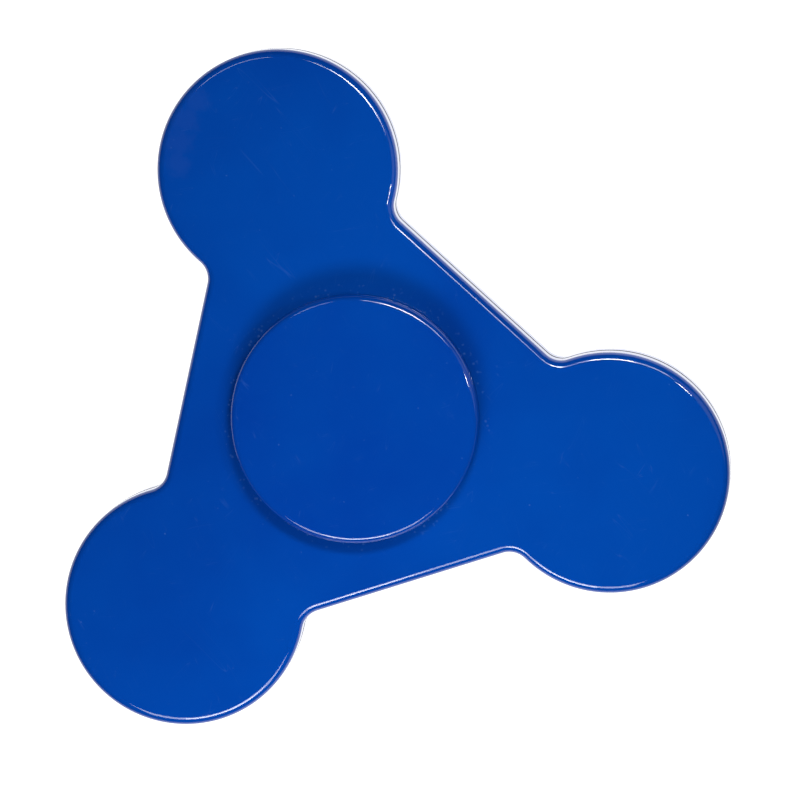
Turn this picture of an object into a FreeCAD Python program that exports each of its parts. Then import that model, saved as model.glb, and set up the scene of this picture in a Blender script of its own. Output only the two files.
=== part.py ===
import FreeCAD, Part

# Three-lobed fidget spinner: a clamshell body with a steel weight in each lobe turns on a
# shielded 608 ball bearing, between two finger caps that are pushed together through its bore.
# Millimetres. +Z is the spin axis, one lobe points along +Y, and the origin is the centre of
# the lower finger cap's flat face.

import math
import os

# Body outline
LOBE_COUNT = 3
LOBE_CENTRE_RADIUS = 28.1
LOBE_RADIUS = 13.13
SIDE_DISTANCE = 18.95
NECK_RADIUS = 2.4
FIRST_LOBE_ANGLE = 90.0

# Body section
BODY_THICKNESS = 7.0
BODY_EDGE_FILLET = 0.9
SEAM_GROOVE_DEPTH = 0.4
SEAM_GROOVE_HALF_HEIGHT = 0.4
PLATE_THICKNESS = 1.5
SIDE_WALL = 1.8

# Finger caps
CAP_RADIUS = 13.5
CAP_DISC_THICKNESS = 2.5
CAP_EDGE_FILLET = 0.7
CAP_UNDER_FILLET = 0.25
CAP_SHOULDER_RADIUS = 5.8
CAP_SHOULDER_HEIGHT = 0.4
STEM_RADIUS = 3.99
STEM_END_GAP = 0.1
CORE_PIN_RADIUS = 2.0
CORE_PIN_LENGTH = 2.9
CORE_SOCKET_CLEARANCE = 0.01
CORE_SOCKET_DEPTH = 3.1
STEM_LEAD_IN = 0.3

# 608 bearing
BEARING_OUTER_RADIUS = 11.0
BEARING_BORE_RADIUS = 4.0
BEARING_WIDTH = BODY_THICKNESS
BEARING_CHAMFER = 0.3
BEARING_SEAT_CLEARANCE = 0.01
BALL_COUNT = 7
BALL_DIAMETER = 3.969
PITCH_RADIUS = 7.5
RACE_CONFORMITY = 0.52
RACE_CLEARANCE = 0.01
INNER_LAND_RADIUS = 6.1
OUTER_LAND_RADIUS = 8.9

# Bearing shields and the rings that hold them
SHIELD_SEAT_RADIUS = 9.7
SHIELD_SEAT_DEPTH = 0.95
SHIELD_THICKNESS = 0.25
SHIELD_INNER_RADIUS = 6.35
SHIELD_RIM_CLEARANCE = 0.05
SHIELD_STEP_RADIUS = 8.55
SHIELD_DISH = 0.1
SNAP_GROOVE_RADIUS = 9.95
SNAP_HEIGHT = 0.4
SNAP_INNER_RADIUS = 9.15
SNAP_GAP_DEG = 16.0

# Ball cage
CAGE_INNER_RADIUS = 6.75
CAGE_OUTER_RADIUS = 8.25
CAGE_STRIP = 0.4
POCKET_CLEARANCE = 0.045
RIVET_RADIUS = 0.35
RIVET_CLEARANCE = 0.01
RIVET_HEAD_RADIUS = 0.55
RIVET_HEAD_HEIGHT = 0.2

# Lobe weights and the pockets that hold them
WEIGHT_RADIUS = 11.0
WEIGHT_THICKNESS = 3.9
WEIGHT_CHAMFER = 0.3
POCKET_RADIUS = 11.1
POCKET_WALL = 1.2
BEARING_COLLAR_WALL = 1.8

# Locating pins that line up the two shells
BOSS_RADIUS = 2.6
PIN_RADIUS = 1.1
PIN_LENGTH = 1.6
PIN_CLEARANCE = 0.05
SOCKET_DEPTH = 1.9

# Levels along the spin axis
CAP_HEIGHT = CAP_DISC_THICKNESS + CAP_SHOULDER_HEIGHT
BODY_BOTTOM = CAP_HEIGHT
BODY_TOP = BODY_BOTTOM + BODY_THICKNESS
MID = (BODY_BOTTOM + BODY_TOP) / 2
TOTAL_HEIGHT = BODY_TOP + CAP_HEIGHT
HALF_BODY = BODY_THICKNESS / 2

# How far a cutting tool runs past the face it cuts, how far joined solids reach into each
# other, and how closely an edge must lie at a level or on a radius to be picked.
OVERCUT = 1.0
OVERLAP = 0.5
PICK_TOLERANCE = 1e-4

BALL_RADIUS = BALL_DIAMETER / 2
PITCH_ANGLE = 360.0 / BALL_COUNT
UP = FreeCAD.Vector(0, 0, 1)
ORIGIN = FreeCAD.Vector(0, 0, 0)


def polar(radius, angle_deg, z=0.0):
    """The point at a radius and an angle about the spin axis."""
    angle = math.radians(angle_deg)
    return FreeCAD.Vector(radius * math.cos(angle), radius * math.sin(angle), z)


def cylinder(radius, low, high, centre=ORIGIN):
    """An upright cylinder between two levels."""
    base = FreeCAD.Vector(centre.x, centre.y, low)
    return Part.makeCylinder(radius, high - low, base, UP)


def turned(profile):
    """A solid turned from a closed profile of (radius, level) points."""
    points = [FreeCAD.Vector(r, 0, z) for r, z in profile]
    wire = Part.makePolygon(points + points[:1])
    return Part.Face(wire).revolve(ORIGIN, UP, 360)


def mirrored(shape):
    """The same piece on the other side of the body's mid-plane."""
    return shape.mirror(FreeCAD.Vector(0, 0, MID), UP)


def outer_edges(shape, level, radius=None):
    """The edges that lie flat at a level, all of them or only a circle of one radius."""
    edges = []
    for edge in shape.Edges:
        box = edge.BoundBox
        if abs(box.ZMin - level) > PICK_TOLERANCE or abs(box.ZMax - level) > PICK_TOLERANCE:
            continue
        if radius is not None and abs(edge.Curve.Radius - radius) > PICK_TOLERANCE:
            continue
        edges.append(edge)
    return edges


def lobe_centre(number):
    return polar(LOBE_CENTRE_RADIUS, FIRST_LOBE_ANGLE + number * 360.0 / LOBE_COUNT)


def outline(inset, low, high):
    """The three-lobed outline, moved inwards by inset and raised from low to high."""
    lobe = LOBE_RADIUS - inset
    neck = NECK_RADIUS + inset
    side = SIDE_DISTANCE - inset
    half_step = math.radians(180.0 / LOBE_COUNT)
    lobe_along = LOBE_CENTRE_RADIUS * math.sin(half_step)
    lobe_out = LOBE_CENTRE_RADIUS * math.cos(half_step)
    neck_out = side + neck
    neck_along = lobe_along - math.sqrt((lobe + neck) ** 2 - (neck_out - lobe_out) ** 2)

    # The neck's two tangent points and the middle of its arc, as (along, out) from a side's middle.
    to_lobe = FreeCAD.Vector(lobe_along - neck_along, lobe_out - neck_out, 0).normalize()
    halfway = (to_lobe + FreeCAD.Vector(0, -1, 0)).normalize()
    on_side = (neck_along, side)
    on_arc = (neck_along + neck * halfway.x, neck_out + neck * halfway.y)
    on_lobe = (neck_along + neck * to_lobe.x, neck_out + neck * to_lobe.y)

    edges = []
    for number in range(LOBE_COUNT):
        normal = FIRST_LOBE_ANGLE - 180.0 / LOBE_COUNT + number * 360.0 / LOBE_COUNT
        along = polar(1, normal + 90)
        out = polar(1, normal)

        def at(point, hand=1, along=along, out=out):
            return along * (hand * point[0]) + out * point[1] + UP * low

        next_normal = normal + 360.0 / LOBE_COUNT
        next_start = polar(1, next_normal + 90) * -on_lobe[0] + polar(1, next_normal) * on_lobe[1]
        tip = polar(LOBE_CENTRE_RADIUS + lobe, normal + 180.0 / LOBE_COUNT, low)
        edges.append(Part.Arc(at(on_lobe, -1), at(on_arc, -1), at(on_side, -1)).toShape())
        edges.append(Part.LineSegment(at(on_side, -1), at(on_side)).toShape())
        edges.append(Part.Arc(at(on_side), at(on_arc), at(on_lobe)).toShape())
        edges.append(Part.Arc(at(on_lobe), tip, next_start + UP * low).toShape())
    wire = Part.Wire(Part.__sortEdges__(edges))
    return Part.Face(wire).extrude(UP * (high - low))


def boss_centre(number):
    """The middle of the gap between the bearing collar and a straight side."""
    collar = BEARING_OUTER_RADIUS + BEARING_COLLAR_WALL
    radius = (collar + SIDE_DISTANCE - SIDE_WALL) / 2
    normal = FIRST_LOBE_ANGLE - 180.0 / LOBE_COUNT + number * 360.0 / LOBE_COUNT
    return polar(radius, normal)


def upper_half():
    """One clamshell half: rounded rim, groove at the seam, bearing seat, weight pockets, hollow webs."""
    ceiling = BODY_TOP - PLATE_THICKNESS
    groove_top = MID + SEAM_GROOVE_HALF_HEIGHT
    skin = outline(0, groove_top, BODY_TOP)
    skin = skin.makeFillet(BODY_EDGE_FILLET, outer_edges(skin, BODY_TOP))
    skin = skin.fuse(outline(SEAM_GROOVE_DEPTH, MID, groove_top + OVERLAP)).removeSplitter()

    hollow = outline(SIDE_WALL, MID, ceiling)
    hollow = hollow.cut(cylinder(BEARING_OUTER_RADIUS + BEARING_COLLAR_WALL, MID, ceiling))
    for number in range(LOBE_COUNT):
        collar = cylinder(POCKET_RADIUS + POCKET_WALL, MID, ceiling, lobe_centre(number))
        hollow = hollow.cut(collar)
        hollow = hollow.cut(cylinder(BOSS_RADIUS, MID, ceiling, boss_centre(number)))
    half = skin.cut(hollow)

    seat_radius = BEARING_OUTER_RADIUS + BEARING_SEAT_CLEARANCE
    half = half.cut(cylinder(seat_radius, MID - OVERCUT, BODY_TOP + OVERCUT))
    for number in range(LOBE_COUNT):
        half = half.cut(cylinder(POCKET_RADIUS, MID - OVERCUT, ceiling, lobe_centre(number)))
    return half


def make_top_shell():
    shell = upper_half()
    for number in range(LOBE_COUNT):
        pin = cylinder(PIN_RADIUS, MID - PIN_LENGTH, MID + OVERLAP, boss_centre(number))
        shell = shell.fuse(pin)
    return shell.removeSplitter()


def make_bottom_shell():
    shell = mirrored(upper_half())
    for number in range(LOBE_COUNT):
        radius = PIN_RADIUS + PIN_CLEARANCE
        shell = shell.cut(cylinder(radius, MID - SOCKET_DEPTH, MID + OVERCUT, boss_centre(number)))
    return shell


def make_weight(number):
    """A steel disc that lies on the lower shell's floor, in a lobe's pocket."""
    low = BODY_BOTTOM + PLATE_THICKNESS
    high = low + WEIGHT_THICKNESS
    disc = turned(
        [
            (0, low),
            (WEIGHT_RADIUS - WEIGHT_CHAMFER, low),
            (WEIGHT_RADIUS, low + WEIGHT_CHAMFER),
            (WEIGHT_RADIUS, high - WEIGHT_CHAMFER),
            (WEIGHT_RADIUS - WEIGHT_CHAMFER, high),
            (0, high),
        ]
    )
    disc.translate(lobe_centre(number))
    return disc


def race(bottom_radius, outward):
    """The ring that cuts a ball groove whose deepest point is at bottom_radius."""
    groove = BALL_DIAMETER * RACE_CONFORMITY
    centre = bottom_radius - groove if outward else bottom_radius + groove
    return Part.makeTorus(centre, groove, FreeCAD.Vector(0, 0, MID), UP)


def make_outer_ring():
    """Outer ring with its ball groove, and a shield seat and snap-ring groove at each face."""
    seat = HALF_BODY - SHIELD_SEAT_DEPTH
    groove = seat + SHIELD_THICKNESS
    upper = [
        (OUTER_LAND_RADIUS, MID),
        (OUTER_LAND_RADIUS, MID + seat),
        (SHIELD_SEAT_RADIUS, MID + seat),
        (SHIELD_SEAT_RADIUS, MID + groove),
        (SNAP_GROOVE_RADIUS, MID + groove),
        (SNAP_GROOVE_RADIUS, MID + groove + SNAP_HEIGHT),
        (SHIELD_SEAT_RADIUS, MID + groove + SNAP_HEIGHT),
        (SHIELD_SEAT_RADIUS, BODY_TOP),
        (BEARING_OUTER_RADIUS - BEARING_CHAMFER, BODY_TOP),
        (BEARING_OUTER_RADIUS, BODY_TOP - BEARING_CHAMFER),
        (BEARING_OUTER_RADIUS, MID),
    ]
    lower = [(r, 2 * MID - z) for r, z in reversed(upper)]
    ring = turned(upper + lower[1:-1])
    return ring.cut(race(PITCH_RADIUS + BALL_RADIUS + RACE_CLEARANCE, True))


def make_inner_ring():
    bore = BEARING_BORE_RADIUS
    ring = turned(
        [
            (bore, BODY_BOTTOM + BEARING_CHAMFER),
            (bore + BEARING_CHAMFER, BODY_BOTTOM),
            (INNER_LAND_RADIUS, BODY_BOTTOM),
            (INNER_LAND_RADIUS, BODY_TOP),
            (bore + BEARING_CHAMFER, BODY_TOP),
            (bore, BODY_TOP - BEARING_CHAMFER),
        ]
    )
    return ring.cut(race(PITCH_RADIUS - BALL_RADIUS - RACE_CLEARANCE, False))


def ball_centre(number):
    return polar(PITCH_RADIUS, FIRST_LOBE_ANGLE + number * PITCH_ANGLE, MID)


def make_ball(number):
    return Part.makeSphere(BALL_RADIUS, ball_centre(number))


def rivet_centre(number):
    return polar(PITCH_RADIUS, FIRST_LOBE_ANGLE + (number + 0.5) * PITCH_ANGLE, MID)


def make_cage_half():
    """The upper ribbon: a flat strip between the balls that bulges over each of them."""
    pocket = BALL_RADIUS + POCKET_CLEARANCE
    bulge = pocket + CAGE_STRIP
    ribbon = cylinder(CAGE_OUTER_RADIUS, MID, MID + CAGE_STRIP)
    for number in range(BALL_COUNT):
        ribbon = ribbon.fuse(Part.makeSphere(bulge, ball_centre(number)))
    band_top = MID + bulge + OVERCUT
    band = cylinder(CAGE_OUTER_RADIUS, MID, band_top)
    band = band.cut(cylinder(CAGE_INNER_RADIUS, MID - OVERCUT, band_top + OVERCUT))
    ribbon = ribbon.common(band)
    for number in range(BALL_COUNT):
        ribbon = ribbon.cut(Part.makeSphere(pocket, ball_centre(number)))
        radius = RIVET_RADIUS + RIVET_CLEARANCE
        ribbon = ribbon.cut(cylinder(radius, MID - OVERCUT, MID + OVERCUT, rivet_centre(number)))
    return ribbon


def make_cage_rivets():
    """Seven separate rivets, each with a flat head on both ribbons."""
    rivets = []
    for number in range(BALL_COUNT):
        centre = rivet_centre(number)
        shank = cylinder(RIVET_RADIUS, MID - CAGE_STRIP, MID + CAGE_STRIP, centre)
        head_low = MID + CAGE_STRIP
        head = cylinder(RIVET_HEAD_RADIUS, head_low, head_low + RIVET_HEAD_HEIGHT, centre)
        rivets.append(shank.fuse([head, mirrored(head)]).removeSplitter())
    return Part.makeCompound(rivets)


def make_shield():
    """Pressed dust shield with a shallow dish, seated on the outer ring's upper step."""
    low = BODY_TOP - SHIELD_SEAT_DEPTH
    high = low + SHIELD_THICKNESS
    rim = SHIELD_SEAT_RADIUS - SHIELD_RIM_CLEARANCE
    return turned(
        [
            (SHIELD_INNER_RADIUS, low + SHIELD_DISH),
            (SHIELD_STEP_RADIUS, low + SHIELD_DISH),
            (SHIELD_STEP_RADIUS + SHIELD_DISH, low),
            (rim, low),
            (rim, high),
            (SHIELD_STEP_RADIUS + SHIELD_DISH, high),
            (SHIELD_STEP_RADIUS, high + SHIELD_DISH),
            (SHIELD_INNER_RADIUS, high + SHIELD_DISH),
        ]
    )


def make_snap_ring():
    """Split ring in the groove above the shield, with its gap towards the first lobe."""
    low = BODY_TOP - SHIELD_SEAT_DEPTH + SHIELD_THICKNESS
    outer = SNAP_GROOVE_RADIUS - SHIELD_RIM_CLEARANCE
    section = Part.makePlane(
        outer - SNAP_INNER_RADIUS,
        SNAP_HEIGHT,
        FreeCAD.Vector(SNAP_INNER_RADIUS, 0, low),
        FreeCAD.Vector(0, -1, 0),
        FreeCAD.Vector(1, 0, 0),
    )
    section.rotate(ORIGIN, UP, FIRST_LOBE_ANGLE + SNAP_GAP_DEG / 2)
    return section.revolve(ORIGIN, UP, 360 - SNAP_GAP_DEG)


def cap_disc():
    """The upper cap's button and the shoulder that bears on the inner ring."""
    low = BODY_TOP + CAP_SHOULDER_HEIGHT
    disc = cylinder(CAP_RADIUS, low, TOTAL_HEIGHT)
    disc = disc.makeFillet(CAP_EDGE_FILLET, outer_edges(disc, TOTAL_HEIGHT))
    disc = disc.makeFillet(CAP_UNDER_FILLET, outer_edges(disc, low, CAP_RADIUS))
    return disc.fuse(cylinder(CAP_SHOULDER_RADIUS, BODY_TOP, low + OVERLAP))


def make_cap_top():
    """Upper cap: its stem fills the upper half of the bore and its core pin locks the lower cap."""
    stem = cylinder(STEM_RADIUS, MID + STEM_END_GAP, BODY_TOP + OVERLAP)
    stem = stem.makeChamfer(STEM_LEAD_IN, outer_edges(stem, MID + STEM_END_GAP))
    pin = cylinder(CORE_PIN_RADIUS, MID - CORE_PIN_LENGTH, MID + OVERLAP)
    pin = pin.makeChamfer(STEM_LEAD_IN, outer_edges(pin, MID - CORE_PIN_LENGTH))
    return cap_disc().fuse([stem, pin]).removeSplitter()


def make_cap_bottom():
    """Lower cap: its stem is hollow, for the upper cap's core pin."""
    stem = cylinder(STEM_RADIUS, BODY_BOTTOM - OVERLAP, MID)
    stem = stem.makeChamfer(STEM_LEAD_IN, outer_edges(stem, MID))
    socket_radius = CORE_PIN_RADIUS + CORE_SOCKET_CLEARANCE
    socket = cylinder(socket_radius, MID - CORE_SOCKET_DEPTH, MID + OVERCUT)
    return mirrored(cap_disc()).fuse(stem).removeSplitter().cut(socket)


def all_nodes():
    """Every sub-part by the name of its node."""
    nodes = {
        "top_shell": make_top_shell(),
        "bottom_shell": make_bottom_shell(),
        "finger_cap_top": make_cap_top(),
        "finger_cap_bottom": make_cap_bottom(),
        "bearing_outer_ring": make_outer_ring(),
        "bearing_inner_ring": make_inner_ring(),
        "cage_upper": make_cage_half(),
        "cage_lower": mirrored(make_cage_half()),
        "cage_rivets": make_cage_rivets(),
        "shield_top": make_shield(),
        "shield_bottom": mirrored(make_shield()),
        "snap_ring_top": make_snap_ring(),
        "snap_ring_bottom": mirrored(make_snap_ring()),
    }
    for number in range(LOBE_COUNT):
        nodes[f"weight_{number + 1}"] = make_weight(number)
    for number in range(BALL_COUNT):
        nodes[f"ball_{number + 1}"] = make_ball(number)
    return nodes


os.makedirs("parts", exist_ok=True)
for name, shape in all_nodes().items():
    shape.exportStep(f"parts/{name}.step")
    print(f"{name}: {len(shape.Solids)} solid(s), {shape.Volume:.1f} mm3, valid {shape.isValid()}")
print(f"height {TOTAL_HEIGHT:.2f} mm")
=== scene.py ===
import math

import bmesh
import bpy
from mathutils import Matrix, Vector


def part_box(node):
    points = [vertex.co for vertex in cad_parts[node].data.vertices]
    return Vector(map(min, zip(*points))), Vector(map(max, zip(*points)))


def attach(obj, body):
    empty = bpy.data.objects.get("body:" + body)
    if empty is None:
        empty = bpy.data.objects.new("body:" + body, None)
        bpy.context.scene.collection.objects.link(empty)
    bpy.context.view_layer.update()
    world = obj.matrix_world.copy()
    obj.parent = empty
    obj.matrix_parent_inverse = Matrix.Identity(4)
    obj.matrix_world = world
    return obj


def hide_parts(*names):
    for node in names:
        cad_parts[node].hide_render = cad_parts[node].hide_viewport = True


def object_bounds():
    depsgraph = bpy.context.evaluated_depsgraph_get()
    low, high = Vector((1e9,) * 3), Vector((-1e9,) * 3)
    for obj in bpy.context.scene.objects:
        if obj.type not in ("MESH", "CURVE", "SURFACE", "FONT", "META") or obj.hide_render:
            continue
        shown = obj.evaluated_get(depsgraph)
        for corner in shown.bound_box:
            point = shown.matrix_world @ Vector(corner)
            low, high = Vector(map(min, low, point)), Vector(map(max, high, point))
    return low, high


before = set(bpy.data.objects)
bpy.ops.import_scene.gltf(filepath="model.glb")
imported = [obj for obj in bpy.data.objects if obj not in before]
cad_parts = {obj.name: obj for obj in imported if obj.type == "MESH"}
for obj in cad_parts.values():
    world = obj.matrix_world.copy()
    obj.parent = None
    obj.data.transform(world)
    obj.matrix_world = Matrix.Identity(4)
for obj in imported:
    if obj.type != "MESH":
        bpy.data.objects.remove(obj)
CAD_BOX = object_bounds()

MM = 0.001

# A point nearer the axis than this counts as on it.
TINY = 1e-9

# Sizes that the frame gives, in metres.
SHELL_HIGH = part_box("top_shell")[1]
CAP_LOW, CAP_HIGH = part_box("finger_cap_top")
WEIGHT_LOW, WEIGHT_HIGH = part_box("weight_1")
RING_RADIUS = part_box("bearing_outer_ring")[1].x

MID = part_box("bottom_shell")[1].z
BODY_TOP = SHELL_HIGH.z
LOBE_CENTRE_RADIUS = (WEIGHT_LOW.y + WEIGHT_HIGH.y) / 2
LOBE_RADIUS = SHELL_HIGH.y - LOBE_CENTRE_RADIUS
WEIGHT_RADIUS = (WEIGHT_HIGH.y - WEIGHT_LOW.y) / 2
CAP_RADIUS = CAP_HIGH.x

# Details of the body that the frame's boxes don't show.
LOBE_COUNT = 3
LOBE_STEP_DEG = 360.0 / LOBE_COUNT
FIRST_LOBE_ANGLE = 90.0
NECK_RADIUS = 2.4 * MM
EDGE_FILLET = 0.9 * MM
GROOVE_DEPTH = 0.4 * MM
GROOVE_HALF_HEIGHT = 0.4 * MM
PLATE = 1.5 * MM
SIDE_WALL = 1.8 * MM
SEAT_RADIUS = RING_RADIUS + 0.01 * MM
POCKET_RADIUS = WEIGHT_RADIUS + 0.1 * MM
POCKET_WALL = 1.2 * MM
COLLAR_WALL = 1.8 * MM
BOSS_RADIUS = 2.6 * MM
PIN_RADIUS = 1.1 * MM
PIN_LENGTH = 1.6 * MM
SOCKET_RADIUS = 1.15 * MM
SOCKET_DEPTH = 1.9 * MM

# Details of the finger caps.
CAP_FILLET = 0.7 * MM
CAP_UNDER_FILLET = 0.25 * MM
CAP_SHOULDER_RADIUS = 5.8 * MM
CAP_SHOULDER = 0.4 * MM
STEM_RADIUS = 3.99 * MM
STEM_GAP = 0.1 * MM
LEAD_IN = 0.3 * MM
CORE_PIN_RADIUS = 2.0 * MM
CORE_SOCKET_RADIUS = 2.01 * MM
CORE_SOCKET_DEPTH = 3.1 * MM

# How far cutters reach past what they cut, and joined pieces into each other.
OVERCUT = 1 * MM
OVERLAP = 0.5 * MM

# Facets round a whole turn.
SMALL_STEPS = 48
MEDIUM_STEPS = 96
SEAT_STEPS = 192
CAP_STEPS = 256

# Edges that turn by more than this stay sharp.
SHARP_ANGLE_DEG = 35.0

# Colours of the plastic: darker and lighter blue of the mottling, what lies on it, the tint of a painted
# reflection, and painted shade for the seam groove.
BODY_BLUES = ((0.0, 0.046, 0.326), (0.0, 0.059, 0.373))
CAP_BLUES = ((0.0, 0.043, 0.326), (0.0, 0.053, 0.352))
MARK_COLOUR = (0.10, 0.24, 0.62)
REFLECTION_TINT = (0.09, 0.13, 0.42)
GROOVE_SHADE_COLOUR = (0.003, 0.004, 0.008)
SCRATCH_STRENGTH = 0.09
DUST_STRENGTH = 0.22
REFLECTION_STRENGTH = 0.05
PLASTIC_IOR = 1.58
SMEAR_ROUGHNESS = (0.035, 0.075)
# How soft the edge of the painted shade in the seam groove is.
GROOVE_SHADE_FADE = 0.02 * MM
STAIN_SHADE = 0.86

# Scratches: direction in degrees, how many there are to a metre across, and shift of the pattern.
SCRATCHES = (
    (24.0, 700.0, 0.0),
    (-52.0, 900.0, 9.0),
    (81.0, 1100.0, 11.0),
    (140.0, 800.0, 8.0),
    (5.0, 1000.0, 10.0),
)
SCRATCH_STRETCH = 0.05
SCRATCH_WIDTH = 0.004

# Painted reflection: soft patches along the rim of the first lobe, where a faint sheen of soft light is
# painted into the colour: centre and reach.
PAINTED_REFLECTION_PATCHES = (
    (Vector((-6.0 * MM, 38.0 * MM, BODY_TOP)), 3.0 * MM),
    (Vector((-7.8 * MM, 36.4 * MM, BODY_TOP)), 3.4 * MM),
    (Vector((-9.2 * MM, 34.4 * MM, BODY_TOP)), 3.4 * MM),
    (Vector((-10.1 * MM, 32.0 * MM, BODY_TOP)), 3.0 * MM),
)

# Steels, by the first word of the node's name: material, colour, roughness, grain and streaks.
STEELS = {
    "bearing": ("bearing_steel_ground", (0.66, 0.67, 0.69), 0.16, 5200.0, 4200.0),
    "ball": ("ball_steel_polished", (0.80, 0.81, 0.83), 0.05, 3000.0, 900.0),
    "cage": ("cage_steel_stamped", (0.62, 0.63, 0.65), 0.28, 4200.0, 2600.0),
    "shield": ("shield_steel_pressed", (0.58, 0.59, 0.61), 0.24, 3600.0, 5200.0),
    "snap": ("snap_steel_wire", (0.50, 0.51, 0.53), 0.30, 3600.0, 3600.0),
    "weight": ("weight_steel_plated", (0.52, 0.53, 0.55), 0.32, 2400.0, 1800.0),
}

# Camera: turn of the picture, lean from upright and its direction, distance, field and aim.
IMAGE_TURN_DEG = 17.8
CAMERA_TILT_DEG = 6.8
CAMERA_AZIMUTH_DEG = 50.0
CAMERA_DISTANCE = 750 * MM
FIELD_WIDTH = 86.78 * MM
AIM = (4.79 * MM, 1.90 * MM)

# Lamps: place across and up the picture and above the body's face, size, and radiance. Lengths in mm.
LAMPS = (
    ("key", (32, 63, 130), (78, 25), 8.3),
    ("key_core", (23, 62, 129), (34, 24), 27.0),
    ("front", (-4, -80, 86), (88, 42), 6.1),
    ("front_core", (-6, -83, 78), (44, 24), 10.0),
    ("side", (-34, 53, 110), (26, 12), 5.0),
    ("right", (85, 28, 58), (62, 54), 0.5),
    ("spark", (46, 11, 80), (6, 6), 70.0),
)
WORLD_STRENGTH = 0.014

# Floor: its side, the gap under the object, its grey, and the glow from the pool's edge outwards.
FLOOR_SIZE = 3.0
FLOOR_GAP = 0.02 * MM
FLOOR_GREY = 0.22
POOL_RADII = (0.06, 0.13)
POOL_STRENGTHS = (1.2, 0.55)


def side_distance():
    """How far the straight sides stand from the spin axis, felt for along -Y."""
    start = Vector((0.0, -1.0, (MID + BODY_TOP) / 2))
    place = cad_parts["top_shell"].ray_cast(start, Vector((0.0, 1.0, 0.0)))[1]
    return -place.y


SIDE_DISTANCE = side_distance()


# ---------------------------------------------------------------- shapes

def polar(radius, angle_deg):
    """The point at a radius and an angle, in the plane."""
    angle = math.radians(angle_deg)
    return Vector((radius * math.cos(angle), radius * math.sin(angle)))


def arc(centre, radius, start_deg, end_deg, steps):
    """Points of an arc, without its last point."""
    for i in range(steps):
        yield centre + polar(radius, start_deg + (end_deg - start_deg) * i / steps)


def side_angle(number):
    """Which way a straight side faces."""
    return FIRST_LOBE_ANGLE + (number - 0.5) * LOBE_STEP_DEG


def outline(inset, side_steps=30, neck_steps=10, lobe_steps=96):
    """The three-lobed outline moved inwards by inset, anticlockwise, with even steps on each stretch."""
    lobe = LOBE_RADIUS - inset
    neck = NECK_RADIUS + inset
    side = SIDE_DISTANCE - inset
    half_step = math.radians(LOBE_STEP_DEG / 2)
    lobe_centre = Vector((math.sin(half_step), math.cos(half_step))) * LOBE_CENTRE_RADIUS
    neck_out = side + neck
    reach = math.sqrt((lobe + neck) ** 2 - (neck_out - lobe_centre.y) ** 2)
    neck_centre = Vector((lobe_centre.x - reach, neck_out))
    to_lobe = math.degrees(math.atan2(lobe_centre.y - neck_out, reach))
    tip = 90.0 - LOBE_STEP_DEG / 2
    lobe_start = 180.0 + to_lobe
    lobe_end = 2 * tip - lobe_start

    # One third of the outline as (along, out) from the middle of a straight side.
    third = [Vector((neck_centre.x * (2 * i / side_steps - 1), side)) for i in range(side_steps)]
    third += arc(neck_centre, neck, -90.0, to_lobe, neck_steps)
    third += arc(lobe_centre, lobe, lobe_start, lobe_end, lobe_steps)
    mirror = polar(1.0, tip)
    for p in reversed(list(arc(neck_centre, neck, -90.0, to_lobe, neck_steps))):
        third.append(2 * mirror * p.dot(mirror) - p)

    points = []
    for number in range(LOBE_COUNT):
        normal = side_angle(number)
        along, out = polar(1.0, normal + 90.0), polar(1.0, normal)
        points += [along * p.x + out * p.y for p in third]
    return points


def made_piece(name, bm):
    """A new object in the scene from a bmesh, which is used up."""
    mesh = bpy.data.meshes.new(name)
    bm.to_mesh(mesh)
    bm.free()
    piece = bpy.data.objects.new(name, mesh)
    bpy.context.scene.collection.objects.link(piece)
    return piece


def loft(name, rings):
    """A closed solid through rings of points that all have the same count."""
    bm = bmesh.new()
    rows = [[bm.verts.new(p) for p in ring] for ring in rings]
    count = len(rows[0])
    for a, b in zip(rows, rows[1:]):
        for i in range(count):
            j = (i + 1) % count
            bm.faces.new((a[i], a[j], b[j], b[i]))
    bm.faces.new(list(reversed(rows[0])))
    bm.faces.new(rows[-1])
    bmesh.ops.recalc_face_normals(bm, faces=bm.faces)
    return made_piece(name, bm)


def lathe(name, profile, steps, centre=Vector((0, 0))):
    """A solid of revolution. A profile point on the axis becomes one pole vertex."""
    bm = bmesh.new()
    rows = []
    for radius, level in profile:
        if radius < TINY:
            rows.append([bm.verts.new((centre.x, centre.y, level))])
            continue
        ring = [polar(radius, 360.0 * i / steps) + centre for i in range(steps)]
        rows.append([bm.verts.new((p.x, p.y, level)) for p in ring])
    for a, b in zip(rows, rows[1:]):
        for i in range(steps):
            j = (i + 1) % steps
            corner = [a[0]] if len(a) == 1 else [a[i], a[j]]
            corner += [b[0]] if len(b) == 1 else [b[j], b[i]]
            bm.faces.new(corner)
    bmesh.ops.recalc_face_normals(bm, faces=bm.faces)
    return made_piece(name, bm)


def at_level(points, level):
    """Flat points lifted to a level."""
    return [Vector((p.x, p.y, level)) for p in points]


def quarter(radius, steps):
    """(inset from the wall, drop below the face) along a rounded edge, from wall to face."""
    for i in range(steps + 1):
        angle = math.pi / 2 * i / steps
        yield radius * (1 - math.cos(angle)), radius * (1 - math.sin(angle))


def combine(piece, cutters, operation):
    """Boolean of a piece with cutters, applied to its mesh. The cutters are used up."""
    for cutter in cutters:
        modifier = piece.modifiers.new("combine", "BOOLEAN")
        modifier.operation = operation
        modifier.solver = "EXACT"
        modifier.object = cutter
    bpy.context.view_layer.update()
    evaluated = piece.evaluated_get(bpy.context.evaluated_depsgraph_get())
    mesh = bpy.data.meshes.new_from_object(evaluated)
    mesh.name = piece.name
    piece.modifiers.clear()
    piece.data = mesh
    for cutter in cutters:
        bpy.data.objects.remove(cutter)


def finish_shading(piece):
    """Smooth faces, sharp real corners, and normals that follow the larger faces."""
    mesh = piece.data
    mesh.shade_smooth()
    mesh.set_sharp_from_angle(angle=math.radians(SHARP_ANGLE_DEG))
    weighted = piece.modifiers.new("weighted_normals", "WEIGHTED_NORMAL")
    weighted.keep_sharp = True
    weighted.weight = 80


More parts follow.
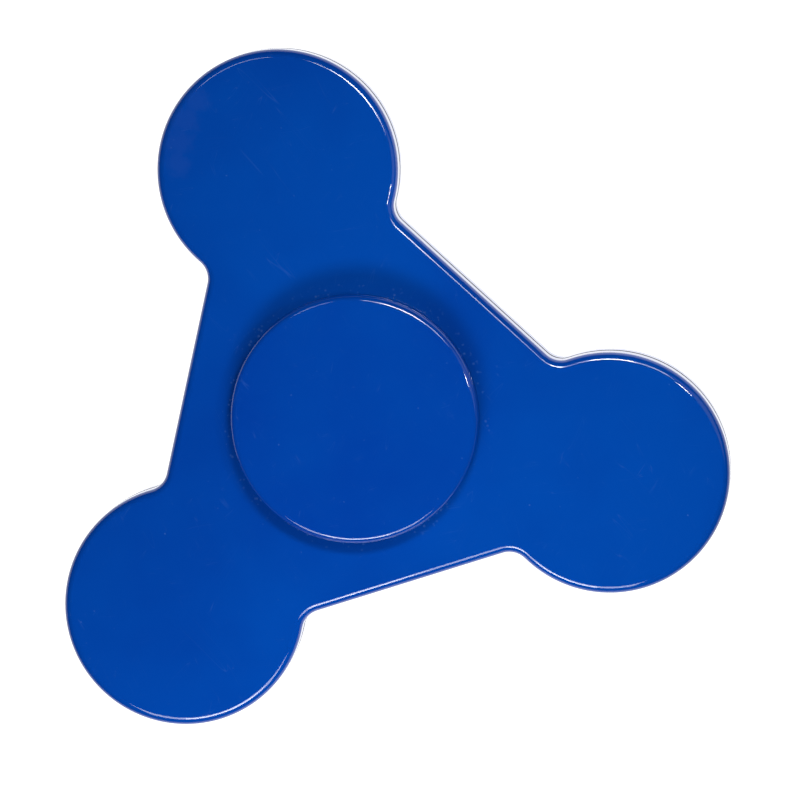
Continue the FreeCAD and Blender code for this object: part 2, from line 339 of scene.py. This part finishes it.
def lobe_centre(number):
    return polar(LOBE_CENTRE_RADIUS, FIRST_LOBE_ANGLE + number * LOBE_STEP_DEG)


def boss_centre(number):
    """The middle of the gap between the bearing's collar and a side wall."""
    radius = (RING_RADIUS + COLLAR_WALL + SIDE_DISTANCE - SIDE_WALL) / 2
    return polar(radius, side_angle(number))


def upright(radius, low, high, centre=Vector((0, 0)), steps=MEDIUM_STEPS):
    """An upright cylinder, for cutting and joining."""
    return lathe("cutter", [(0, low), (radius, low), (radius, high), (0, high)], steps, centre)


def half_shell(name):
    """The upper clamshell half as a closed solid: seam groove, wall, rounded rim and flat face."""
    wall_low = MID + GROOVE_HALF_HEIGHT
    wall_top = BODY_TOP - EDGE_FILLET
    wall_steps = 6
    rings = [at_level(outline(GROOVE_DEPTH), MID), at_level(outline(GROOVE_DEPTH), wall_low)]
    for i in range(wall_steps):
        rings.append(at_level(outline(0), wall_low + (wall_top - wall_low) * i / wall_steps))
    for inset, drop in quarter(EDGE_FILLET, 16):
        rings.append(at_level(outline(inset), BODY_TOP - drop))
    return loft(name, rings)


def cut_hollows(half):
    """Cuts the hub hollow, the three weight pockets and the bearing's seat out of a half shell."""
    low = MID - OVERCUT
    high = BODY_TOP - PLATE
    inner = outline(SIDE_WALL, side_steps=8, neck_steps=4, lobe_steps=32)
    hollow = loft("hollow", [at_level(inner, low), at_level(inner, high)])
    keep_low = low - OVERCUT
    keep_high = high + OVERCUT
    keep = [upright(RING_RADIUS + COLLAR_WALL, keep_low, keep_high)]
    for number in range(LOBE_COUNT):
        keep.append(upright(POCKET_RADIUS + POCKET_WALL, keep_low, keep_high, lobe_centre(number)))
        keep.append(upright(BOSS_RADIUS, keep_low, keep_high, boss_centre(number), SMALL_STEPS))
    combine(hollow, keep, "DIFFERENCE")
    pockets = [upright(POCKET_RADIUS, low, high, lobe_centre(n)) for n in range(LOBE_COUNT)]
    seat = upright(SEAT_RADIUS, low, BODY_TOP + OVERCUT, steps=SEAT_STEPS)
    combine(half, [hollow] + pockets + [seat], "DIFFERENCE")


def on_bosses(radius, low, high):
    """One small cylinder on each boss, for its pin or its socket."""
    return [upright(radius, low, high, boss_centre(n), SMALL_STEPS) for n in range(LOBE_COUNT)]


def make_top_shell():
    """The upper half, with three pins at the seam."""
    shell = half_shell("body_top")
    cut_hollows(shell)
    combine(shell, on_bosses(PIN_RADIUS, MID - PIN_LENGTH, MID + OVERLAP), "UNION")
    return shell


def make_base_shell():
    """The lower half: a mirror image of the upper one, with sockets in place of the pins."""
    shell = half_shell("body_base")
    cut_hollows(shell)
    combine(shell, on_bosses(SOCKET_RADIUS, MID - OVERCUT, MID + SOCKET_DEPTH), "DIFFERENCE")
    for vertex in shell.data.vertices:
        vertex.co.z = 2 * MID - vertex.co.z
    shell.data.flip_normals()
    return shell


def cap_profile():
    """The upper cap's button, from the middle of its face to its stem."""
    under = BODY_TOP + CAP_SHOULDER
    profile = [(0.0, CAP_HIGH.z)]
    face_steps = 12
    for i in range(1, face_steps):
        profile.append(((CAP_RADIUS - CAP_FILLET) * i / face_steps, CAP_HIGH.z))
    for inset, drop in reversed(list(quarter(CAP_FILLET, 14))):
        profile.append((CAP_RADIUS - inset, CAP_HIGH.z - drop))
    for inset, rise in quarter(CAP_UNDER_FILLET, 8):
        profile.append((CAP_RADIUS - inset, under + rise))
    profile += [(CAP_SHOULDER_RADIUS, under), (CAP_SHOULDER_RADIUS, BODY_TOP), (STEM_RADIUS, BODY_TOP)]
    return profile


def make_cap_top():
    """The upper cap: button, stem and core pin."""
    profile = cap_profile()
    profile += [
        (STEM_RADIUS, MID + STEM_GAP + LEAD_IN),
        (STEM_RADIUS - LEAD_IN, MID + STEM_GAP),
        (CORE_PIN_RADIUS, MID + STEM_GAP),
        (CORE_PIN_RADIUS, CAP_LOW.z + LEAD_IN),
        (CORE_PIN_RADIUS - LEAD_IN, CAP_LOW.z),
        (0.0, CAP_LOW.z),
    ]
    return lathe("button_top", profile, CAP_STEPS)


def make_cap_base():
    """The lower cap: button and hollow stem, turned upside down."""
    profile = cap_profile()
    profile += [
        (STEM_RADIUS, MID + LEAD_IN),
        (STEM_RADIUS - LEAD_IN, MID),
        (CORE_SOCKET_RADIUS, MID),
        (CORE_SOCKET_RADIUS, MID + CORE_SOCKET_DEPTH),
        (0.0, MID + CORE_SOCKET_DEPTH),
    ]
    return lathe("button_base", [(r, 2 * MID - z) for r, z in profile], CAP_STEPS)


# ---------------------------------------------------------------- materials

def new_material(name):
    """A material, its node tree and its shader."""
    material = bpy.data.materials.new(name)
    material.use_nodes = True
    tree = material.node_tree
    shader = tree.nodes["Principled BSDF"]
    return material, tree, shader


def node(tree, kind, **values):
    """A node with values for its named inputs or properties."""
    made = tree.nodes.new(kind)
    for key, value in values.items():
        if key in made.inputs:
            made.inputs[key].default_value = value
        else:
            setattr(made, key, value)
    return made


def mapped(tree, scale, turn=(0, 0, 0)):
    """Object coordinates, turned first and then scaled along the turned axes."""
    place = tree.nodes.new("ShaderNodeTexCoord")
    mapping = node(tree, "ShaderNodeMapping", vector_type="TEXTURE")
    mapping.inputs["Scale"].default_value = [1.0 / factor for factor in scale]
    mapping.inputs["Rotation"].default_value = [math.radians(t) for t in turn]
    tree.links.new(place.outputs["Object"], mapping.inputs["Vector"])
    return mapping.outputs["Vector"]


def noise(tree, vector, scale, detail=2.0, roughness=0.5):
    made = node(tree, "ShaderNodeTexNoise", Scale=scale, Detail=detail, Roughness=roughness)
    tree.links.new(vector, made.inputs["Vector"])
    return made.outputs["Fac"]


def maths(tree, operation, first, second=None):
    """A math node. Each value is a number or a socket."""
    made = node(tree, "ShaderNodeMath", operation=operation)
    for socket, value in zip(made.inputs, (first, second)):
        if value is None:
            continue
        if isinstance(value, (int, float)):
            socket.default_value = value
        else:
            tree.links.new(value, socket)
    return made.outputs["Value"]


def ramp(tree, value, low, high, to_low=0.0, to_high=1.0):
    """Value stretched from (low, high) to (to_low, to_high), held at both ends."""
    made = node(tree, "ShaderNodeMapRange")
    made.inputs["From Min"].default_value = low
    made.inputs["From Max"].default_value = high
    made.inputs["To Min"].default_value = to_low
    made.inputs["To Max"].default_value = to_high
    tree.links.new(value, made.inputs["Value"])
    return made.outputs["Result"]


def blended(tree, share, first, second):
    """Colour between first and second. Each is a tuple or a socket."""
    made = node(tree, "ShaderNodeMix", data_type="RGBA")
    tree.links.new(share, made.inputs["Factor"])
    for index, colour in ((6, first), (7, second)):
        if isinstance(colour, tuple):
            made.inputs[index].default_value = (*colour, 1.0)
        else:
            tree.links.new(colour, made.inputs[index])
    return made.outputs[2]


def hairlines(tree, turn, fineness, seed):
    """Thin, broken scratches that run along one direction."""
    stretched = mapped(tree, (fineness, fineness * SCRATCH_STRETCH, fineness), (0, 0, turn))
    field = noise(tree, stretched, 1.0 + seed * 0.013, 1.0)
    away = maths(tree, "ABSOLUTE", maths(tree, "SUBTRACT", field, 0.5))
    line = ramp(tree, away, 0.0, SCRATCH_WIDTH, 1.0, 0.0)
    breaks = noise(tree, mapped(tree, (1, 1, 1), (0, 0, turn * 1.7)), 180.0 + seed * 17.0, 1.0)
    return maths(tree, "MULTIPLY", line, ramp(tree, breaks, 0.56, 0.66))


def split_coordinates(tree):
    """Object coordinates taken apart into X, Y and Z."""
    place = tree.nodes.new("ShaderNodeTexCoord")
    split = tree.nodes.new("ShaderNodeSeparateXYZ")
    tree.links.new(place.outputs["Object"], split.inputs["Vector"])
    return split.outputs


def axis_distance(tree, split):
    """Distance from the spin axis, in metres."""
    square = maths(tree, "ADD", maths(tree, "MULTIPLY", split["X"], split["X"]),
                   maths(tree, "MULTIPLY", split["Y"], split["Y"]))
    return maths(tree, "SQRT", square)


def specks(tree, vector, density, low, high, chosen_low, seed):
    """Dust grains: small round dots, only where a coarser noise allows them."""
    dots = node(tree, "ShaderNodeTexVoronoi", Scale=density, Randomness=1.0)
    tree.links.new(vector, dots.inputs["Vector"])
    dot = ramp(tree, dots.outputs["Distance"], low, high, 1.0, 0.0)
    chosen = noise(tree, vector, density * 0.5 + seed, 2.0)
    return maths(tree, "MULTIPLY", dot, ramp(tree, chosen, chosen_low, chosen_low + 0.04))


def reflection_patch(tree, vector, centre, reach):
    """A patch of painted reflection with a ragged edge, round a centre in the row frame."""
    away = node(tree, "ShaderNodeVectorMath", operation="DISTANCE")
    away.inputs[1].default_value = centre
    tree.links.new(vector, away.inputs[0])
    ragged = maths(tree, "MULTIPLY", noise(tree, vector, 900.0, 8.0, 0.85), reach * 1.5)
    total = maths(tree, "ADD", away.outputs["Value"], ragged)
    return ramp(tree, total, reach, reach * 1.35, 1.0, 0.0)


def scratches(tree, seed):
    """Hairlines in several directions."""
    lines = 0.0
    for turn, fineness, shift in SCRATCHES:
        lines = maths(tree, "MAXIMUM", hairlines(tree, turn + seed, fineness, seed + shift), lines)
    return lines


def dust(tree, vector, seed):
    """Fine grains and a few coarser ones."""
    fine = specks(tree, vector, 1500.0, 0.10, 0.20, 0.66, seed)
    coarse = specks(tree, vector, 420.0, 0.03, 0.06, 0.60, seed)
    return maths(tree, "MAXIMUM", fine, coarse)


def crumbs_round(tree, vector, radius, seed):
    """Dirt that gathers in a narrow ring just outside a radius."""
    away = axis_distance(tree, split_coordinates(tree))
    inner = ramp(tree, away, radius - 0.2 * MM, radius + 0.1 * MM)
    outer = ramp(tree, away, radius + 0.3 * MM, radius + 1.6 * MM, 1.0, 0.0)
    crumbs = specks(tree, vector, 1900.0, 0.20, 0.34, 0.52, seed)
    return maths(tree, "MULTIPLY", crumbs, maths(tree, "MULTIPLY", inner, outer))


def painted_groove_shade(tree):
    """Painted shade in the seam groove: one at the level of the groove between the two halves, and nought
    above and below it.
    """
    level = split_coordinates(tree)["Z"]
    away = maths(tree, "ABSOLUTE", maths(tree, "SUBTRACT", level, MID))
    return ramp(tree, away, GROOVE_HALF_HEIGHT, GROOVE_HALF_HEIGHT + GROOVE_SHADE_FADE, 1.0, 0.0)


def painted_reflection(tree, vector):
    """The painted reflection patches together, at their strength."""
    cloud = 0.0
    for centre, reach in PAINTED_REFLECTION_PATCHES:
        cloud = maths(tree, "MAXIMUM", reflection_patch(tree, vector, centre, reach), cloud)
    return maths(tree, "MULTIPLY", cloud, REFLECTION_STRENGTH)


def add_bump(tree, shader, height, strength, distance):
    bump = node(tree, "ShaderNodeBump", Strength=strength, Distance=distance)
    tree.links.new(height, bump.inputs["Height"])
    tree.links.new(bump.outputs["Normal"], shader.inputs["Normal"])


def plastic(name, blues, seed, is_body):
    """Glossy moulded ABS: faint mottling, scratches, dust, smears and a little waviness; on the body also a
    painted reflection patch and painted shade in the seam groove.
    """
    material, tree, shader = new_material(name)
    flat = mapped(tree, (1, 1, 1))
    mottle = ramp(tree, noise(tree, flat, 48.0 + seed, 3.0), 0.35, 0.65)
    colour = blended(tree, mottle, *blues)

    lines = scratches(tree, seed)
    grains = dust(tree, flat, seed)
    if is_body:
        grains = maths(tree, "MAXIMUM", grains, crumbs_round(tree, flat, CAP_RADIUS, seed + 5.0))
    marks = maths(tree, "MAXIMUM", maths(tree, "MULTIPLY", lines, SCRATCH_STRENGTH),
                  maths(tree, "MULTIPLY", grains, DUST_STRENGTH))
    colour = blended(tree, marks, colour, MARK_COLOUR)
    if is_body:
        # Painted reflection: a faint sheen of soft light on the first lobe's rim, painted into the colour.
        colour = blended(tree, painted_reflection(tree, flat), colour, REFLECTION_TINT)
        # Painted shade: the seam groove is painted near-black and loses its shine, standing in for the shade
        # inside the recess.
        groove_shade = painted_groove_shade(tree)
        colour = blended(tree, groove_shade, colour, GROOVE_SHADE_COLOUR)
        shine = maths(tree, "MULTIPLY", maths(tree, "SUBTRACT", 1.0, groove_shade), 0.5)
        tree.links.new(shine, shader.inputs["Specular IOR Level"])
    tree.links.new(colour, shader.inputs["Base Color"])

    smear = ramp(tree, noise(tree, flat, 120.0, 4.0, 0.6), 0.45, 0.75, *SMEAR_ROUGHNESS)
    rough = maths(tree, "ADD", smear, maths(tree, "MULTIPLY", marks, 0.5))
    tree.links.new(rough, shader.inputs["Roughness"])
    shader.inputs["IOR"].default_value = PLASTIC_IOR

    waves = maths(tree, "MULTIPLY", noise(tree, flat, 42.0, 1.0), 0.5)
    grain = maths(tree, "MULTIPLY", noise(tree, flat, 2600.0, 2.0), 0.0012)
    height = maths(tree, "SUBTRACT", maths(tree, "ADD", waves, grain), maths(tree, "MULTIPLY", lines, 0.004))
    add_bump(tree, shader, height, 0.35, 0.12 * MM)
    return material


def steel(name, colour, rough, grain, streaks):
    """Machined or pressed steel: turned or drawn streaks and slight stains."""
    material, tree, shader = new_material(name)
    flat = mapped(tree, (1, 1, 1))
    stain = ramp(tree, noise(tree, flat, 260.0, 3.0), 0.35, 0.7)
    darker = tuple(c * STAIN_SHADE for c in colour)
    tree.links.new(blended(tree, stain, colour, darker), shader.inputs["Base Color"])
    shader.inputs["Metallic"].default_value = 1.0
    split = split_coordinates(tree)
    joined = tree.nodes.new("ShaderNodeCombineXYZ")
    tree.links.new(axis_distance(tree, split), joined.inputs["X"])
    tree.links.new(split["Z"], joined.inputs["Y"])
    turned = noise(tree, joined.outputs["Vector"], streaks, 2.0)
    speck = noise(tree, flat, grain, 2.0)
    both = maths(tree, "ADD", maths(tree, "MULTIPLY", turned, 0.6), maths(tree, "MULTIPLY", speck, 0.4))
    tree.links.new(ramp(tree, both, 0.3, 0.7, rough * 0.7, rough * 1.4), shader.inputs["Roughness"])
    add_bump(tree, shader, both, 0.25, 0.02 * MM)
    return material


# ---------------------------------------------------------------- studio

def to_row(image_x, image_y):
    """A point given across and up the picture, as X and Y of the row frame."""
    turned = polar(1.0, -IMAGE_TURN_DEG) * image_x + polar(1.0, 90.0 - IMAGE_TURN_DEG) * image_y
    return Vector((turned.x, turned.y))


def add_camera():
    """Nearly overhead, leaning to the picture's upper right."""
    aim_xy = to_row(*AIM)
    aim = Vector((aim_xy.x, aim_xy.y, BODY_TOP))
    lean = math.radians(CAMERA_TILT_DEG)
    side = polar(math.sin(lean), CAMERA_AZIMUTH_DEG - IMAGE_TURN_DEG)
    back = Vector((side.x, side.y, math.cos(lean)))
    up = polar(1.0, 90.0 - IMAGE_TURN_DEG)
    up = Vector((up.x, up.y, 0.0))
    up = (up - back * up.dot(back)).normalized()
    right = up.cross(back)
    data = bpy.data.cameras.new("camera")
    data.sensor_width = 36.0
    data.lens = data.sensor_width * CAMERA_DISTANCE / FIELD_WIDTH
    data.clip_start = 0.01
    data.clip_end = 10.0
    camera = bpy.data.objects.new("camera", data)
    bpy.context.scene.collection.objects.link(camera)
    camera.location = aim + back * CAMERA_DISTANCE
    camera.rotation_mode = "QUATERNION"
    camera.rotation_quaternion = Matrix((right, up, back)).transposed().to_quaternion()
    bpy.context.scene.camera = camera


def soft_light(name, place, size, radiance):
    """A rectangular lamp that faces the middle of the body's face."""
    data = bpy.data.lights.new(name, "AREA")
    data.shape = "RECTANGLE"
    data.size, data.size_y = size
    data.energy = radiance * math.pi * size[0] * size[1]
    lamp = bpy.data.objects.new(name, data)
    bpy.context.scene.collection.objects.link(lamp)
    xy = to_row(place[0], place[1])
    lamp.location = Vector((xy.x, xy.y, BODY_TOP + place[2]))
    back = (lamp.location - Vector((0, 0, BODY_TOP))).normalized()
    across_xy = to_row(1.0, 0.0)
    across = Vector((across_xy.x, across_xy.y, 0.0))
    across = (across - back * across.dot(back)).normalized()
    lamp.rotation_mode = "QUATERNION"
    lamp.rotation_quaternion = Matrix((across, back.cross(across), back)).transposed().to_quaternion()
    lamp.visible_camera = False


def add_floor():
    """A pale floor that glows in a pool round the object and fades into grey."""
    bm = bmesh.new()
    bmesh.ops.create_grid(bm, x_segments=1, y_segments=1, size=FLOOR_SIZE / 2)
    floor = made_piece("floor", bm)
    floor.location.z = CAD_BOX[0].z - FLOOR_GAP
    material, tree, shader = new_material("pale_floor")
    shader.inputs["Base Color"].default_value = (FLOOR_GREY, FLOOR_GREY, FLOOR_GREY, 1.0)
    shader.inputs["Roughness"].default_value = 0.7
    shader.inputs["Specular IOR Level"].default_value = 0.2
    shader.inputs["Emission Color"].default_value = (1.0, 1.0, 1.0, 1.0)
    away = axis_distance(tree, split_coordinates(tree))
    glow = ramp(tree, away, *POOL_RADII, *POOL_STRENGTHS)
    tree.links.new(glow, shader.inputs["Emission Strength"])
    floor.data.materials.append(material)


def add_world():
    world = bpy.data.worlds.new("studio")
    world.use_nodes = True
    background = world.node_tree.nodes["Background"]
    background.inputs["Color"].default_value = (1.0, 1.0, 1.0, 1.0)
    background.inputs["Strength"].default_value = WORLD_STRENGTH
    bpy.context.scene.world = world


def add_lights():
    for name, place, size, radiance in LAMPS:
        soft_light(name, [v * MM for v in place], [v * MM for v in size], radiance)


# ---------------------------------------------------------------- assembly

def dress(piece, material):
    piece.data.materials.clear()
    piece.data.materials.append(material)


bpy.context.scene.view_settings.view_transform = "Standard"
add_camera()
add_world()
add_floor()
add_lights()

body_blue = plastic("blue_abs_body", BODY_BLUES, 0.0, True)
cap_blue = plastic("blue_abs_cap", CAP_BLUES, 11.0, False)

for maker, twin, body, material in (
    (make_top_shell, "top_shell", "rotor", body_blue),
    (make_base_shell, "bottom_shell", "rotor", body_blue),
    (make_cap_top, "finger_cap_top", "hub", cap_blue),
    (make_cap_base, "finger_cap_bottom", "hub", cap_blue),
):
    piece = maker()
    finish_shading(piece)
    dress(piece, material)
    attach(piece, body)
    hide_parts(twin)

steels = {kind: steel(*values) for kind, values in STEELS.items()}
for name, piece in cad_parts.items():
    kind = name.split("_")[0]
    if kind in steels:
        dress(piece, steels[kind])
